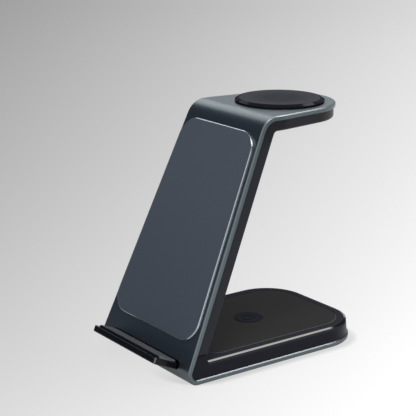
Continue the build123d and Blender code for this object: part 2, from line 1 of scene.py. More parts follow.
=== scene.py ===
"""Looks of a three in one charging stand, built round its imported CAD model.

Each sub-assembly of the stand is a class that dresses its CAD nodes and models its small extra
pieces. Lengths are in metres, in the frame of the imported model: +X to the right, -Y towards the
phone's user, +Z up, with the table at zero.
"""

import logging
import math
from dataclasses import dataclass, field
from enum import Enum
from functools import cache
from typing import TypeAlias

import bmesh
import bpy
from mathutils import Matrix, Vector


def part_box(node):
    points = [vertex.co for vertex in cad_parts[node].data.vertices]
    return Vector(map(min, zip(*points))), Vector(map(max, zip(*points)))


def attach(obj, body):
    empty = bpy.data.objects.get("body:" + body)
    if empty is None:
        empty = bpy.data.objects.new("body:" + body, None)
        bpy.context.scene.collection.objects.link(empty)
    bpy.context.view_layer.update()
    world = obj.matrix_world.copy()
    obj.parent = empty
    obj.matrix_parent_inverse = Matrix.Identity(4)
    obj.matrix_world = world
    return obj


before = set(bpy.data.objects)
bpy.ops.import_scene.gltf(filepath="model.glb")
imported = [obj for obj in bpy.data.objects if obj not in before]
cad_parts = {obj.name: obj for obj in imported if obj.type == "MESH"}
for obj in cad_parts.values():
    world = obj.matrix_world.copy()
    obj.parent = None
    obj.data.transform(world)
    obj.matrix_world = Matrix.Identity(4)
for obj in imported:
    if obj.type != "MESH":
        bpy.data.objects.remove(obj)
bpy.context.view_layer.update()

ROOT = "root"
LOG = logging.getLogger("stand")

TONE_DETAIL = 3.0
GRAIN_DETAIL = 2.0
NOISE_ROUGHNESS = 0.55
GRAIN_SPAN = (0.2, 0.8)

Color: TypeAlias = tuple[float, float, float]
Point: TypeAlias = tuple[float, float, float]
Span: TypeAlias = tuple[float, float]
Socket: TypeAlias = bpy.types.NodeSocket
Amount: TypeAlias = "Value | float"
Paint: TypeAlias = "Socket | Color"


class Direction(Enum):
    """Directions on the stand's sloping face."""

    OUT_OF_FACE = (0.0, -0.9135455, 0.4067366)
    UPPER_RIGHT = (0.707, 0.287, 0.646)


class Axis(Enum):
    """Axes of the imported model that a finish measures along."""

    X = 0
    Z = 2


class Value:
    """A number socket of a shader that takes part in plain arithmetic."""

    def __init__(self, board: "Board", socket: Socket) -> None:
        """Wrap a socket.

        Args:
            board: The board that the socket's node stands on.
            socket: The output socket.
        """
        self.board = board
        self.socket = socket

    def __add__(self, other: Amount) -> "Value":
        """Sum."""
        return self.board.compute("ADD", self, other)

    def __sub__(self, other: Amount) -> "Value":
        """Difference."""
        return self.board.compute("SUBTRACT", self, other)

    def __rsub__(self, other: Amount) -> "Value":
        """Difference from a number on the left."""
        return self.board.compute("SUBTRACT", other, self)

    def __mul__(self, other: Amount) -> "Value":
        """Product."""
        return self.board.compute("MULTIPLY", self, other)

    def __truediv__(self, other: Amount) -> "Value":
        """Quotient."""
        return self.board.compute("DIVIDE", self, other)

    def __rtruediv__(self, other: Amount) -> "Value":
        """Quotient of a number on the left."""
        return self.board.compute("DIVIDE", other, self)


class Board:
    """A material's node tree, with a Principled shader at its end."""

    def __init__(self, name: str) -> None:
        """Start an empty material.

        Args:
            name: The material's name.
        """
        self.material = bpy.data.materials.new(name)
        self.material.use_nodes = True
        self.nodes = self.material.node_tree.nodes
        self.links = self.material.node_tree.links
        self.nodes.clear()
        self.output = self.nodes.new("ShaderNodeOutputMaterial")
        self.shader = self.nodes.new("ShaderNodeBsdfPrincipled")
        self.coordinates = self.nodes.new("ShaderNodeTexCoord")
        self.links.new(self.shader.outputs["BSDF"], self.output.inputs["Surface"])

    def node(self, kind: str, inputs: dict, **settings: object) -> bpy.types.Node:
        """Add a node.

        Args:
            kind: The node's type.
            inputs: Its sockets by name or number, each a value, a socket or a constant.
            **settings: Its own settings, set before its sockets.

        Returns:
            The new node.
        """
        made = self.nodes.new(kind)
        for key, setting in settings.items():
            setattr(made, key, setting)
        for key, given in inputs.items():
            self.feed(made.inputs[key], given)
        return made

    def feed(self, socket: Socket, given: object) -> None:
        """Link or set one input socket.

        Args:
            socket: The input socket.
            given: A value, an output socket or a constant.
        """
        if isinstance(given, Value):
            self.links.new(given.socket, socket)
        elif isinstance(given, bpy.types.NodeSocket):
            self.links.new(given, socket)
        elif socket.type == "RGBA" and len(given) == 3:
            socket.default_value = (*given, 1.0)
        else:
            socket.default_value = given

    def value(self, kind: str, inputs: dict, output: int | str = 0, **settings: object) -> Value:
        """Add a node and wrap one of its outputs.

        Args:
            kind: The node's type.
            inputs: Its sockets.
            output: The output's name or number.
            **settings: Its own settings.

        Returns:
            The wrapped output.
        """
        return Value(self, self.node(kind, inputs, **settings).outputs[output])

    def compute(self, operation: str, first: Amount, second: Amount = 0.0) -> Value:
        """Add one Math node."""
        return self.value("ShaderNodeMath", {0: first, 1: second}, operation=operation)

    def vector(self, operation: str, *inputs: Socket | Point) -> Socket:
        """Add one Vector Math node that gives a vector."""
        given = dict(enumerate(inputs))
        return self.node("ShaderNodeVectorMath", given, operation=operation).outputs["Vector"]

    def place(self) -> Socket:
        """Object coordinates, in metres."""
        return self.coordinates.outputs["Object"]

    def normal(self) -> Socket:
        """The surface's own normal, before any bump."""
        return self.coordinates.outputs["Normal"]

    def about(self, middle: Point) -> Socket:
        """Object coordinates about a point."""
        inputs = {"Vector": self.place(), "Location": middle}
        return self.node("ShaderNodeMapping", inputs, vector_type="TEXTURE").outputs["Vector"]

    def part(self, where: Socket, axis: Axis) -> Value:
        """Part of a vector along an axis."""
        return self.value("ShaderNodeSeparateXYZ", {0: where}, axis.value)

    def distance(self, where: Socket) -> Value:
        """Length of a vector."""
        return self.value("ShaderNodeVectorMath", {0: where}, "Value", operation="LENGTH")

    def across(self, where: Socket, direction: Point) -> Value:
        """Part of a vector along a direction."""
        inputs = {0: where, 1: direction}
        return self.value("ShaderNodeVectorMath", inputs, "Value", operation="DOT_PRODUCT")

    def height(self) -> Value:
        """Height above the table."""
        return self.part(self.place(), Axis.Z)

    def upward(self) -> Value:
        """How far the surface faces up, from -1 to 1."""
        return self.part(self.normal(), Axis.Z)

    def aside(self) -> Value:
        """How far the surface faces to the left or the right, from 0 to 1."""
        return self.compute("ABSOLUTE", self.part(self.normal(), Axis.X))

    def noise(self, size: float, detail: float) -> Value:
        """Noise from 0 to 1.

        Args:
            size: Size of the pattern's grain in metres.
            detail: Octaves of finer noise.

        Returns:
            The noise.
        """
        inputs = {"Vector": self.place(), "Scale": 1.0 / size, "Detail": detail,
                  "Roughness": NOISE_ROUGHNESS}
        return self.value("ShaderNodeTexNoise", inputs, "Fac")

    def cells(self, size: float) -> Value:
        """Distance to the nearest point of a cell pattern, with cells of a size in metres."""
        inputs = {"Vector": self.place(), "Scale": 1.0 / size}
        return self.value("ShaderNodeTexVoronoi", inputs, "Distance")

    def waves(self, given: Value, length: float) -> Value:
        """Sine waves of a length in metres."""
        return self.compute("SINE", given * (2.0 * math.pi / length))

    def ramp(self, given: Value, low: Amount, high: Amount,
             start: float = 0.0, end: float = 1.0) -> Value:
        """Smooth step of a value.

        Args:
            given: The value.
            low: Where the step begins.
            high: Where it ends.
            start: The result at its beginning.
            end: The result at its end.

        Returns:
            The stepped value.
        """
        inputs = {"Value": given, "From Min": low, "From Max": high, "To Min": start, "To Max": end}
        return self.value("ShaderNodeMapRange", inputs, interpolation_type="SMOOTHSTEP")

    def fall(self, given: Value, low: Amount, high: Amount) -> Value:
        """Smooth step of a value down from 1 to 0."""
        return self.ramp(given, low, high, 1.0, 0.0)

    def band(self, given: Value, rise: Span, fall: tuple[Amount, Amount]) -> Value:
        """Mask that is 1 where a value lies between a rising and a falling step."""
        return self.ramp(given, *rise) * self.fall(given, *fall)

    def blend(self, share: Amount, first: Paint, second: Paint) -> Socket:
        """Mix two colours.

        Args:
            share: Share of the second colour.
            first: Colour at share 0.
            second: Colour at share 1.

        Returns:
            The mixed colour.
        """
        made = self.node("ShaderNodeMix", {0: share}, data_type="RGBA")
        self.feed(made.inputs[6], first)
        self.feed(made.inputs[7], second)
        return made.outputs[2]

    def bump(self, height: Value, depth: float) -> None:
        """Raise the surface by a height map.

        Args:
            height: The map, from 0 to 1.
            depth: How high it rises, in metres.
        """
        inputs = {"Strength": 1.0, "Distance": depth, "Height": height}
        raised = self.node("ShaderNodeBump", inputs)
        self.links.new(raised.outputs["Normal"], self.shader.inputs["Normal"])

    def set(self, **sockets: object) -> None:
        """Set the shader's sockets, with spaces in their names written as underscores."""
        for name, given in sockets.items():
            self.feed(self.shader.inputs[name.replace("_", " ")], given)


def shade(color: Color, factor: float) -> Color:
    """A colour made darker or lighter by a factor."""
    return tuple(min(1.0, part * factor) for part in color)


@dataclass(frozen=True)
class Finish:
    """A finish with a fine grain and slow changes of tone.

    Its sizes are in metres, and its colours are linear.
    """

    name: str
    color: Color
    roughness: float
    grain: float
    depth: float
    tone: float = 0.06
    tone_size: float = 0.018
    roughness_spread: float = 0.06

    def material(self) -> bpy.types.Material:
        """Build the finish's material.

        Returns:
            The material.
        """
        board = Board(self.name)
        self.paint(board)
        return board.material

    def toned(self, board: Board, low: float, high: float) -> Socket:
        """The finish's colour, changing slowly between two factors of it."""
        slow = board.noise(self.tone_size, TONE_DETAIL)
        return board.blend(slow, shade(self.color, low), shade(self.color, high))

    def plain(self, board: Board) -> Socket:
        """The finish's colour with its slow changes of tone."""
        return self.toned(board, 1.0 - self.tone, 1.0 + self.tone)

    def fine(self, board: Board) -> Value:
        """The finish's fine grain, from 0 to 1."""
        return board.noise(self.grain, GRAIN_DETAIL)

    def rough(self, board: Board) -> Value:
        """The finish's roughness, which changes with its grain."""
        low, high = self.roughness - self.roughness_spread, self.roughness + self.roughness_spread
        return board.ramp(self.fine(board), *GRAIN_SPAN, low, high)

    def paint(self, board: Board) -> None:
        """Set the board's colour, roughness and grain."""
        board.set(Base_Color=self.plain(board), Roughness=self.rough(board))
        board.bump(self.fine(board), self.depth)


@dataclass(frozen=True)
class AnodisedSheet(Finish):
    """Blasted and anodised aluminium sheet, burnished on its chamfers, with painted shade
    underneath.
    """

    cut_color: Color = (0.165, 0.178, 0.187)
    cut_roughness: float = 0.34
    cut_rise: Span = (0.3, 0.5)
    cut_fall: Span = (0.8, 0.9)
    cut_upward: Span = (0.27, 0.5)
    belly_painted_shade: float = 0.5
    belly_span: Span = (-0.6, 0.1)

    def paint(self, board: Board) -> None:
        """Burnish the chamfers that face upwards, and paint shade on the sheet where it turns
        under.

        Args:
            board: The board to paint on.
        """
        super().paint(board)
        upward = board.upward()
        cut = (board.band(board.aside(), self.cut_rise, self.cut_fall)
               * board.ramp(upward, *self.cut_upward))
        # Painted shade: the sheet is darker where it faces down.
        belly_painted_shade_mask = board.fall(upward, *self.belly_span)
        sheet = board.blend(belly_painted_shade_mask, self.plain(board), shade(self.color, self.belly_painted_shade))
        board.set(
            Base_Color=board.blend(cut, sheet, self.cut_color),
            Metallic=1.0,
            Roughness=self.rough(board) + cut * (self.cut_roughness - self.roughness),
        )


@dataclass(frozen=True)
class MouldedPlastic(Finish):
    """Moulded plastic with a spark-eroded grain."""

    specular: float = 0.5
    coat: float = 0.0
    coat_roughness: float = 0.1
    cell_grains: float = 2.2
    cell_share: float = 0.4

    def paint(self, board: Board) -> None:
        """Add the mould's cell grain and the surface's gloss.

        Args:
            board: The board to paint on.
        """
        super().paint(board)
        cells = board.cells(self.grain * self.cell_grains)
        height = self.fine(board) * (1.0 - self.cell_share) + cells * self.cell_share
        board.bump(height, self.depth)
        board.set(Specular_IOR_Level=self.specular, Coat_Weight=self.coat,
                  Coat_Roughness=self.coat_roughness)


@dataclass(frozen=True)
class GlossyNose(MouldedPlastic):
    """Gloss plastic with a painted highlight, as brighter metal, on its rounded front corners."""

    corner_painted_highlight: Color = (0.12, 0.12, 0.128)
    corner_rise: Span = (0.2, 0.35)
    corner_fall: Span = (0.7, 0.85)
    corner_front: Span = (0.35, 0.55)
    facing: Direction = Direction.OUT_OF_FACE

    def paint(self, board: Board) -> None:
        """Paint a highlight, as brighter metal, on the corners between the front and the sides.

        Args:
            board: The board to paint on.
        """
        super().paint(board)
        front = board.across(board.normal(), self.facing.value)
        # Painted highlight: brighter metal on the corners between front and sides stands in for
        # their glint.
        corner = (board.band(board.aside(), self.corner_rise, self.corner_fall)
                  * board.ramp(front, *self.corner_front))
        color = board.blend(corner, self.plain(board), self.corner_painted_highlight)
        board.set(Base_Color=color, Metallic=corner)


@dataclass(frozen=True)
class RimmedGrip(MouldedPlastic):
    """Soft grip strip with a black border along its front, and painted shade along the face where
    it meets the plate.
    """

    front: float = field(kw_only=True)
    rim_color_with_painted_light: Color = (0.003, 0.003, 0.0045)
    front_rim: float = 0.0017
    front_blur: float = 0.2e-3
    reach: float = 0.0136
    face_painted_shade_width: float = 0.0011
    face_blur: float = 0.1e-3
    facing: Direction = Direction.OUT_OF_FACE

    def paint(self, board: Board) -> None:
        """Blacken the strip's front border, and paint shade along its border at the face.

        Args:
            board: The board to paint on.
        """
        super().paint(board)
        depth = self.front - board.across(board.place(), self.facing.value)
        inner = self.reach - self.face_painted_shade_width
        # The front border is plain black; the border along the face is painted shade where the
        # strip meets the plate.
        rim = (board.fall(depth, self.front_rim - self.front_blur, self.front_rim + self.front_blur)
               + board.ramp(depth, inner - self.face_blur, inner + self.face_blur))
        board.set(Base_Color=board.blend(rim, self.plain(board), self.rim_color_with_painted_light))


@dataclass(frozen=True)
class SeamedPlastic(MouldedPlastic):
    """Moulded plastic with painted shade in the seam at its foot and in its upper arm."""

    seam: float = field(kw_only=True)
    seam_width: float = 0.0008
    seam_core: float = 0.6
    seam_painted_shade: float = 0.1
    arm_span: Span = (0.122, 0.131)
    arm_painted_shade: float = 0.5

    def paint(self, board: Board) -> None:
        """Paint shade into the seam and the arm.

        Args:
            board: The board to paint on.
        """
        super().paint(board)
        height = board.height()
        # Painted shade in the upper arm.
        arm = board.ramp(height, *self.arm_span)
        body = board.blend(arm, self.plain(board), shade(self.color, self.arm_painted_shade))
        # Painted shade in the seam at the foot.
        seam = board.fall(height - self.seam, self.seam_core * self.seam_width, self.seam_width)
        board.set(Base_Color=board.blend(seam, body, shade(self.color, self.seam_painted_shade)))


@dataclass(frozen=True)
class EdgedPad(Finish):
    """Soft coated plate with a bright cut edge round its flat face."""

    top: float = field(kw_only=True)
    specular: float = 0.4
    grain_spread: float = 0.08
    edge_color: Color = (0.42, 0.45, 0.47)
    edge_roughness: float = 0.2
    edge_rise: Span = (0.02e-3, 0.08e-3)
    edge_width: float = 0.0008
    edge_blur: float = 1.1
    corner_painted_glint_growth: float = 1.7
    corner_span: Span = (0.6, 0.95)
    corner_way: Direction = Direction.UPPER_RIGHT
    foot_painted_shade: float = 0.80
    foot_span: Span = (0.02, 0.12)
    facing: Direction = Direction.OUT_OF_FACE

    def paint(self, board: Board) -> None:
        """Paint the face, with painted shade towards its foot, and the cut edge, widened at its
        upper corner as a painted highlight.

        Args:
            board: The board to paint on.
        """
        super().paint(board)
        depth = self.top - board.across(board.place(), self.facing.value)
        # Painted highlight: the cut edge is wider at its upper right corner, where its glint is
        # wider.
        width = board.ramp(board.across(board.normal(), self.corner_way.value), *self.corner_span,
                           self.edge_width, self.corner_painted_glint_growth * self.edge_width)
        edge = board.band(depth, self.edge_rise, (width, width * self.edge_blur))
        # Painted shade: the face is darker towards its foot.
        foot = self.toned(board, self.foot_painted_shade - self.tone, self.foot_painted_shade)
        face = board.blend(board.ramp(board.height(), *self.foot_span), foot, self.plain(board))
        board.set(
            Base_Color=board.blend(edge, face, self.edge_color),
            Metallic=edge,
            Roughness=(edge * (self.edge_roughness - self.roughness) + self.roughness
                       + (self.fine(board) - 0.5) * self.grain_spread),
            Specular_IOR_Level=self.specular,
        )


@dataclass(frozen=True)
class GlossTop(MouldedPlastic):
    """Moulded plastic whose bevel is rolled over and polished like dark glass."""

    top: float = field(kw_only=True)
    bevel_color: Color = (0.062, 0.061, 0.057)
    bevel_roughness: float = 0.14
    bevel_rise: Span = (0.80, 0.86)
    bevel_fall: Span = (0.98, 0.99)
    drop: float = 0.0005
    roll: float = 0.0006

    def paint(self, board: Board) -> None:
        """Polish the surfaces that lean a little from level, and roll them over.

        Args:
            board: The board to paint on.
        """
        super().paint(board)
        bevel = board.band(board.upward(), self.bevel_rise, self.bevel_fall)
        board.set(
            Base_Color=board.blend(bevel, self.plain(board), self.bevel_color),
            Metallic=bevel,
            Roughness=bevel * (self.bevel_roughness - self.roughness) + self.roughness,
        )
        inputs = {"Value": board.height(), "From Min": self.top - self.drop, "From Max": self.top}
        board.bump(board.value("ShaderNodeMapRange", inputs), self.roll)


@dataclass(frozen=True)
class MarkedPad(MouldedPlastic):
    """Rubber pad with a painted highlight on its cut rim and a darker round mark pressed into it.
    """

    middle: Point = field(kw_only=True)
    mark_radius: float = 0.009
    mark_blur: float = 0.2e-3
    mark_color: Color = (0.0243, 0.0255, 0.0318)
    rim_color_with_painted_light: Color = (0.14, 0.14, 0.14)
    rim_rise: Span = (0.45, 0.6)
    rim_fall: Span = (0.8, 0.9)
    rim_room: float = 0.5e-3

    def paint(self, board: Board) -> None:
        """Darken the mark and paint a highlight on the rim.

        Args:
            board: The board to paint on.
        """
        super().paint(board)
        out = board.distance(board.about(self.middle))
        mark = board.fall(out, self.mark_radius - self.mark_blur, self.mark_radius)
        # Painted highlight: the cut rim is paler.
        rim = (board.band(board.upward(), self.rim_rise, self.rim_fall)
               * board.ramp(out, self.mark_radius, self.mark_radius + self.rim_room))
        face = board.blend(mark, self.plain(board), self.mark_color)
        board.set(Base_Color=board.blend(rim, face, self.rim_color_with_painted_light))


@dataclass(frozen=True)
class TurnedPad(Finish):
    """Rubber pad with faint turning marks about an upright axis, and painted light that makes it
    paler towards its edge.
    """

    middle: Point = field(kw_only=True)
    radius: float = field(kw_only=True)
    ring: float = 0.0012
    ring_depth: float = 0.000012
    ring_share: float = 0.25
    painted_light_fade: float = 0.12
    painted_light_start: float = 0.3

    def paint(self, board: Board) -> None:
        """Add the rings and the painted light, darker in the middle and paler towards the edge, to
        the plain finish.

        Args:
            board: The board to paint on.
        """
        super().paint(board)
        out = board.distance(board.about(self.middle))
        # Painted light: the pad is darker in its middle and paler towards its edge.
        inner = self.toned(board, 1.0 - self.painted_light_fade - self.tone, 1.0 - self.painted_light_fade)
        outer = self.toned(board, 1.0 + self.painted_light_fade, 1.0 + self.painted_light_fade + self.tone)
        share = board.ramp(out, self.painted_light_start * self.radius, self.radius)
        board.set(Base_Color=board.blend(share, inner, outer), Specular_IOR_Level=0.0)
        rings = board.waves(out, self.ring) * self.ring_share
        height = rings + self.fine(board) * (1.0 - self.ring_share)
        board.bump(height, self.depth + self.ring_depth)


@dataclass(frozen=True)
class Winding(Finish):
    """Enamelled copper wire wound in a flat spiral."""

    middle: Point = field(kw_only=True)
    wire: float = 0.0011
    relief: float = 0.0003
    gap_painted_shade: float = 0.35
    shine: float = 0.9

    def paint(self, board: Board) -> None:
        """Paint the turns of wire about the coil's middle, with painted shade in the gaps between
        them.

        Args:
            board: The board to paint on.
        """
        super().paint(board)
        out = board.distance(board.about(self.middle))
        turns = board.waves(out, self.wire) * 0.5 + 0.5
        # Painted shade: the gaps between the turns are darker.
        painted_gap_color = shade(self.color, self.gap_painted_shade)
        board.set(Base_Color=board.blend(turns, painted_gap_color, self.color), Metallic=self.shine)
        board.bump(turns, self.relief)


@dataclass(frozen=True)
class BareMetal(Finish):
    """Plated steel with fine drawn lines."""

    def paint(self, board: Board) -> None:
        """Add the metal's shine to the plain finish."""
        super().paint(board)
        board.set(Metallic=1.0)


@cache
def mapped(finish: Finish) -> bpy.types.Material:
    """Build a finish once and keep it for the next piece that asks for it."""
    return finish.material()


def dress(node: str, finish: Finish) -> None:
    """Give a CAD node a finish.

    Args:
        node: The node's name.
        finish: The finish.
    """
    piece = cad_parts[node]
    piece.data.materials.clear()
    piece.data.materials.append(mapped(finish))
    LOG.info("dressed %s in %s", node, finish.name)


def add_piece(name: str, mesh: bmesh.types.BMesh, finish: Finish) -> None:
    """Turn a mesh into a piece that rides on the stand.

    Args:
        name: The piece's name.
        mesh: Its finished mesh, in the stand's frame. It is freed here.
        finish: Its finish.
    """
    data = bpy.data.meshes.new(name)
    mesh.to_mesh(data)
    mesh.free()
    piece = bpy.data.objects.new(name, data)
    bpy.context.scene.collection.objects.link(piece)
    data.materials.append(mapped(finish))
    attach(piece, ROOT)
    LOG.info("added %s with %d faces", name, len(data.polygons))


@dataclass
class BentBand:
    """The bent aluminium band."""

    finish: Finish = AnodisedSheet(
        "anodised_band", (0.131, 0.160, 0.169), roughness=0.37, grain=0.00022, depth=0.000008,
        tone=0.03, tone_size=0.03, roughness_spread=0.04)

    def build(self) -> None:
        """Dress the band."""
        dress("band_frame", self.finish)


@dataclass
class PhoneRest:
    """The sloping phone pad and the ledge that the phone stands on."""

    slate: Color = (0.056, 0.068, 0.086)
    grip: Color = (0.145, 0.145, 0.156)
    ledge: Finish = GlossyNose(
        "ledge_black", (0.003, 0.003, 0.0045), roughness=0.2, grain=0.0003, depth=0.000003,
        tone=0.05, specular=0.2)

    def build(self) -> None:
        """Dress the pad, the ledge and its grip."""
        out = Vector(Direction.OUT_OF_FACE.value)
        top, front = (max(out.dot(corner.co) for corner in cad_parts[node].data.vertices)
                      for node in ("phone_pad", "ledge_grip"))
        dress("phone_pad", EdgedPad(
            "slate_pad", self.slate, roughness=0.55, grain=0.00035, depth=0.000006,
            tone=0.025, tone_size=0.025, roughness_spread=0.05, top=top))
        dress("phone_ledge", self.ledge)
        dress("ledge_grip", RimmedGrip(
            "grip_grey", self.grip, roughness=0.6, grain=0.0003, depth=0.000010,
            tone=0.05, specular=0.2, front=front))


@dataclass
class Housing:
    """The black mouldings behind the band and on its base, and the earbuds pad."""

    spine: Color = (0.0115, 0.012, 0.0162)
    black: Color = (0.0285, 0.030, 0.036)
    olive: Color = (0.0355, 0.0355, 0.0335)
    # Painted shade: the tray is a darker black than the spine's moulding.
    tray: Finish = MouldedPlastic(
        "tray_black_painted_shade", (0.0065, 0.0067, 0.011), roughness=0.38, grain=0.0005, depth=0.000010,
        specular=0.12)

    def build(self) -> None:
        """Dress the mouldings and the earbuds pad."""
        dress("spine_cover", SeamedPlastic(
            "spine_black", self.spine, roughness=0.42, grain=0.0005, depth=0.000010,
            specular=0.22, seam=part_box("spine_cover")[0].z))
        dress("base_tray", self.tray)
        dress("base_top_cover", GlossTop(
            "polished_top", self.black, roughness=0.5, grain=0.0006, depth=0.000002,
            tone=0.05, specular=0.0, top=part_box("base_top_cover")[1].z))
        low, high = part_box("earbuds_coil")
        middle = (low + high) / 2
        dress("earbuds_pad", MarkedPad(
            "olive_pad", self.olive, roughness=0.6, grain=0.0004, depth=0.000008,
            tone=0.05, specular=0.0, middle=(middle.x, middle.y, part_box("earbuds_pad")[1].z)))


@dataclass
class WatchPuck:
    """The raised puck for a watch."""

    rubber: Color = (0.050, 0.052, 0.059)
    rim: Finish = MouldedPlastic(
        "puck_satin", (0.010, 0.0105, 0.015), roughness=0.24, grain=0.0005, depth=0.000002,
        tone=0.05, specular=0.0, coat=0.12, coat_roughness=0.12)

    def build(self) -> None:
        """Dress the puck's body and its pad."""
        low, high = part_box("watch_pad")
        pad = TurnedPad(
            "watch_rubber", self.rubber, roughness=0.42, grain=0.0004, depth=0.000006,
            tone_size=0.012, roughness_spread=0.05, middle=tuple((low + high) / 2),
            radius=(high.x - low.x) / 2)
        dress("watch_puck", self.rim)
        dress("watch_pad", pad)


@dataclass
class InnerWorks:
    """The coils, boards and wiring inside the stand."""

    copper: Color = (0.62, 0.27, 0.12)
    ferrite: Finish = Finish(
        "ferrite_grey", (0.03, 0.03, 0.032), roughness=0.5, grain=0.0006, depth=0.00001)
    plain: Finish = MouldedPlastic(
        "ivory_plastic", (0.55, 0.55, 0.52), roughness=0.5, grain=0.0005, depth=0.00001)
    magnet: Finish = BareMetal(
        "nickel", (0.6, 0.6, 0.6), roughness=0.2, grain=0.0003, depth=0.000003)
    board: Finish = MouldedPlastic(
        "solder_mask", (0.01, 0.09, 0.03), roughness=0.35, grain=0.0006, depth=0.000008,
        tone=0.2, tone_size=0.004)
    chips: Finish = MouldedPlastic(
        "chip_black", (0.015, 0.015, 0.015), roughness=0.5, grain=0.0003, depth=0.00001)
    film: Finish = MouldedPlastic(
        "amber_film", (0.35, 0.16, 0.03), roughness=0.25, grain=0.0008, depth=0.00001)
    coils: tuple[str, ...] = ("phone_coil_lower", "phone_coil_upper", "earbuds_coil", "watch_coil")

    def build(self) -> None:
        """Dress the coils, their sheets and holders, and the board."""
        for node in self.coils:
            low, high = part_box(node)
            dress(node, Winding(
                "winding_" + node, self.copper, roughness=0.3, grain=0.0004, depth=0.00001,
                middle=tuple((low + high) / 2)))
        for node in ("phone_ferrite", "earbuds_ferrite", "watch_ferrite"):
            dress(node, self.ferrite)
        for node in ("coil_tray", "watch_holder"):
            dress(node, self.plain)
        dress("watch_magnet", self.magnet)
        dress("main_board", self.board)
        dress("board_parts", self.chips)
        dress("flex_cable", self.film)


@dataclass
class Fittings:
    """The charging socket, the screws and the feet."""

    steel: Finish = BareMetal(
        "socket_steel", (0.55, 0.55, 0.55), roughness=0.28, grain=0.0003, depth=0.000003)
    tongue: Finish = MouldedPlastic(
        "tongue_black", (0.01, 0.01, 0.01), roughness=0.4, grain=0.0003, depth=0.000005)
    screw: Finish = BareMetal(
        "dark_zinc", (0.2, 0.2, 0.21), roughness=0.32, grain=0.0002, depth=0.000004)
    rubber: Finish = MouldedPlastic(
        "foot_rubber", (0.014, 0.014, 0.014), roughness=0.7, grain=0.0006, depth=0.00002)

    def build(self) -> None:
        """Dress the socket, the screws and the feet."""
        dress("socket_shell", self.steel)
        dress("socket_tongue", self.tongue)
        for node in ("base_screws", "spine_screws", "puck_screws", "ledge_screws", "board_screws"):
            dress(node, self.screw)
        for node in ("foot_front_left", "foot_front_right", "foot_back_left", "foot_back_right"):
            dress(node, self.rubber)


class Side(Enum):
    """The two faces of the socket's tongue."""

    ABOVE = 1.0
    BELOW = -1.0


@dataclass
class SocketContacts:
    """The rows of plated contacts on both faces of the socket's tongue."""

    gold: Finish = BareMetal(
        "contact_gold", (0.78, 0.55, 0.22), roughness=0.25, grain=0.0002, depth=0.000002)
    count: int = 12
    pitch: float = 0.0005
    width: float = 0.00027
    reach: float = 0.0026
    height: float = 0.00005
    tongue_thickness: float = 0.0007
    tip_room: float = 0.0003
    edge_share: float = 0.6
    edge_cuts: int = 2

    def build(self) -> None:
        """Model both rows of contacts as one piece."""
        low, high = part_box("socket_tongue")
        level = (low.z + high.z) / 2
        mesh = bmesh.new()
        for side in Side:
            for index in range(self.count):
                middle = Vector(((index - (self.count - 1) / 2) * self.pitch,
                                 high.y - self.tip_room - self.reach / 2,
                                 level + side.value * self.tongue_thickness / 2))
                self.lay_contact(mesh, middle, side)
        bmesh.ops.recalc_face_normals(mesh, faces=list(mesh.faces))
        add_piece("socket_contacts", mesh, self.gold)

    def lay_contact(self, mesh: bmesh.types.BMesh, middle: Vector, side: Side) -> None:
        """Add one contact with softened edges.

        Args:
            mesh: The mesh to add to.
            middle: The middle of the contact's foot, on the tongue's face.
            side: The tongue's face.
        """
        shape = Matrix.Diagonal((self.width / 2, self.reach / 2, 1.0, 1.0))
        foot = bmesh.ops.create_grid(mesh, x_segments=1, y_segments=1, size=1.0,
                                     matrix=Matrix.Translation(middle) @ shape)["verts"]
        faces = list({face for vert in foot for face in vert.link_faces})
        raised = bmesh.ops.extrude_face_region(mesh, geom=faces)["geom"]
        lifted = [item for item in raised if isinstance(item, bmesh.types.BMVert)]
        bmesh.ops.translate(mesh, verts=lifted, vec=(0.0, 0.0, side.value * self.height))
        top = [item for item in raised if isinstance(item, bmesh.types.BMFace)]
        edges = list({edge for face in top for edge in face.edges})
        bmesh.ops.bevel(mesh, geom=edges, offset=self.height * self.edge_share,
                        offset_type="OFFSET", segments=self.edge_cuts, profile=0.5,
                        affect="EDGES", material=-1)


class Shown(Enum):
    """Which surfaces a light panel acts on."""

    ALL = "all"
    MATT = "matt"
    GLOSS = "gloss"


@dataclass(frozen=True)
class Panel:
    """A soft light panel that faces the stand."""

    name: str
    direction: Point
    distance: float
    width: float
    height: float
    radiance: float
    shows: Shown = Shown.ALL
    aim: Point = (0.0, 0.0, 0.07)

    def build(self) -> None:
        """Add the panel's area lamp."""
        lamp = bpy.data.lights.new(self.name, "AREA")
        lamp.shape = "RECTANGLE"
        lamp.size = self.width
        lamp.size_y = self.height
        lamp.energy = self.radiance * math.pi * self.width * self.height
        away = Vector(self.direction).normalized()
        item = bpy.data.objects.new(self.name, lamp)
        item.location = Vector(self.aim) + away * self.distance
        item.rotation_euler = away.to_track_quat("Z", "Y").to_euler()
        item.visible_camera = False
        item.visible_glossy = self.shows is not Shown.MATT
        item.visible_diffuse = self.shows is not Shown.GLOSS
        bpy.context.scene.collection.objects.link(item)


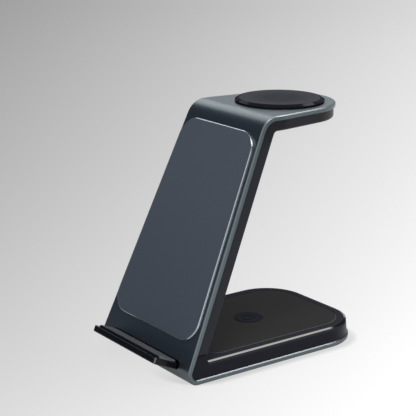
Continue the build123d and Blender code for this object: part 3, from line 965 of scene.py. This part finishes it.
@dataclass
class Studio:
    """The floor, the light and the camera."""

    floor_size: float = 60.0
    floor_cells: int = 8
    floor_roughness: float = 0.9
    floor_gloss: float = 0.1
    floor_seen: float = 0.93
    floor_mirrored: float = 0.5
    floor_far: float = 0.690
    floor_tilt: float = 0.755
    floor_turn: float = -0.167
    floor_near: float = 0.157
    floor_least: float = 0.6
    floor_gamma: float = 2.2
    reach_least: float = 0.45
    contact_reach: float = 0.0055
    painted_contact_shade: float = 0.11
    contact_corner: float = 0.023
    room_color: Color = (0.78, 0.95, 1.32)
    room_strength: float = 0.12
    camera_place: Point = (0.58155, -0.433923, 0.28183)
    azimuth: float = 53.973
    elevation: float = 15.324
    lens: float = 112.89
    sensor: float = 36.0
    shift: Span = (-0.0065, 0.0)
    clip: Span = (0.01, 50.0)
    panels: tuple[Panel, ...] = (
        Panel("back_panel", (0.05, 0.64, 0.76), 1.3, 1.8, 0.32, 7.0),
        Panel("low_panel", (-0.66, 0.68, 0.42), 1.5, 1.4, 0.7, 0.56),
        Panel("left_panel", (-0.76, 0.24, 0.62), 1.3, 0.62, 0.4, 2.45),
        Panel("top_panel", (0.12, -0.28, 0.95), 1.3, 0.8, 0.7, 3.0),
        Panel("corner_card", (0.45, 0.10, 0.85), 1.3, 0.5, 0.5, 5.0, Shown.GLOSS),
        Panel("front_panel", (0.62, -0.70, 0.36), 1.6, 1.6, 1.4, 2.9, Shown.MATT),
        Panel("front_card", (0.62, -0.70, 0.36), 1.5, 1.5, 1.3, 1.2, Shown.GLOSS),
    )

    def build(self) -> None:
        """Set the floor, the lamps, the world, the camera and the view."""
        self.lay_floor()
        for panel in self.panels:
            panel.build()
        self.light_world()
        self.set_camera()
        bpy.context.scene.view_settings.view_transform = "Standard"

    def look(self) -> Vector:
        """The way the camera looks."""
        turn, tilt = math.radians(self.azimuth), math.radians(self.elevation)
        return Vector((-math.sin(turn) * math.cos(tilt), math.cos(turn) * math.cos(tilt),
                       -math.sin(tilt)))

    def lay_floor(self) -> None:
        """Lay the pale paper floor."""
        mesh = bmesh.new()
        bmesh.ops.create_grid(mesh, x_segments=self.floor_cells, y_segments=self.floor_cells,
                              size=self.floor_size / 2)
        data = bpy.data.meshes.new("paper_floor")
        mesh.to_mesh(data)
        mesh.free()
        floor = bpy.data.objects.new("paper_floor", data)
        bpy.context.scene.collection.objects.link(floor)
        data.materials.append(self.paper())

    def paper(self) -> bpy.types.Material:
        """Build the floor's paper, which falls off into grey behind the stand and to its left.

        Its tone is painted light that is fixed to the floor. It follows the distance ahead of the
        camera's place and the way to the side of it. Part of the paper's tone is its own, and the
        lamps give the rest, so that they still cast shadows on it.

        Returns:
            The material.
        """
        board = Board("paper")
        turn = math.radians(self.azimuth)
        beside = board.about((self.camera_place[0], self.camera_place[1], 0.0))
        ahead = board.across(beside, (-math.sin(turn), math.cos(turn), 0.0))
        aside = board.across(beside, (math.cos(turn), math.sin(turn), 0.0))
        reach = board.compute("MAXIMUM", ahead, self.reach_least)
        # Painted light: the tone falls off with the distance ahead and to the side.
        tone = (aside / reach * (self.floor_turn / reach + self.floor_tilt)
                + self.floor_near / reach + self.floor_far)
        tone = board.compute("MAXIMUM", tone, self.floor_least)
        # Painted contact shadow beside the base.
        tone = tone * (1.0 - self.painted_contact_shadow(board) * self.painted_contact_shade)
        grey = board.value("ShaderNodeMath", {0: tone, 1: self.floor_gamma},
                           operation="POWER", use_clamp=True)
        color = board.node("ShaderNodeCombineColor", {0: grey, 1: grey, 2: grey}).outputs[0]
        board.set(Base_Color=color, Roughness=self.floor_roughness,
                  Specular_IOR_Level=self.floor_gloss)
        glow = board.node("ShaderNodeEmission", {"Color": color, "Strength": 1.0}).outputs[0]
        ray = {kind: Value(board, socket)
               for kind, socket in board.node("ShaderNodeLightPath", {}).outputs.items()}
        mirrored = board.compute("MAXIMUM", ray["Is Glossy Ray"], ray["Is Transmission Ray"])
        share = ray["Is Camera Ray"] * self.floor_seen + mirrored * self.floor_mirrored
        inputs = {0: share, 1: board.shader.outputs[0], 2: glow}
        mixed = board.node("ShaderNodeMixShader", inputs).outputs[0]
        board.links.new(mixed, board.output.inputs["Surface"])
        return board.material

    def painted_contact_shadow(self, board: Board) -> Value:
        """Painted shadow on the paper close to the base, on the stand's right.

        Args:
            board: The paper's board.

        Returns:
            1 at the base's edge, and 0 where the shade ends.
        """
        low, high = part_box("band_frame")
        middle = (low + high) / 2
        half = (high - low) / 2 - Vector((self.contact_corner, self.contact_corner, 0.0))
        beside = board.about((middle.x, middle.y, 0.0))
        past = board.vector("SUBTRACT", board.vector("ABSOLUTE", beside), (half.x, half.y, 0.0))
        past = board.vector("MAXIMUM", past, (0.0, 0.0, 0.0))
        out = board.distance(past) - self.contact_corner
        right = board.ramp(board.part(beside, Axis.X), 0.0, high.x)
        return board.fall(out, 0.0, self.contact_reach) * right

    def light_world(self) -> None:
        """Light the room evenly and dimly, with a cool tint."""
        world = bpy.data.worlds.new("room")
        world.use_nodes = True
        back = world.node_tree.nodes["Background"]
        back.inputs["Color"].default_value = (*self.room_color, 1.0)
        back.inputs["Strength"].default_value = self.room_strength
        bpy.context.scene.world = world

    def set_camera(self) -> None:
        """Stand the camera where the photograph was taken from."""
        lens = bpy.data.cameras.new("camera")
        lens.lens = self.lens
        lens.sensor_width = self.sensor
        lens.shift_x, lens.shift_y = self.shift
        lens.clip_start, lens.clip_end = self.clip
        item = bpy.data.objects.new("camera", lens)
        item.location = self.camera_place
        item.rotation_euler = self.look().to_track_quat("-Z", "Y").to_euler()
        bpy.context.scene.collection.objects.link(item)
        bpy.context.scene.camera = item


def main() -> None:
    """Build the stand's looks and the studio round it."""
    logging.basicConfig(level=logging.INFO, format="%(message)s")
    for assembly in (BentBand(), PhoneRest(), Housing(), WatchPuck(), InnerWorks(), Fittings(),
                     SocketContacts()):
        assembly.build()
        LOG.info("%s done", type(assembly).__name__)
    Studio().build()


if __name__ == "__main__":
    main()
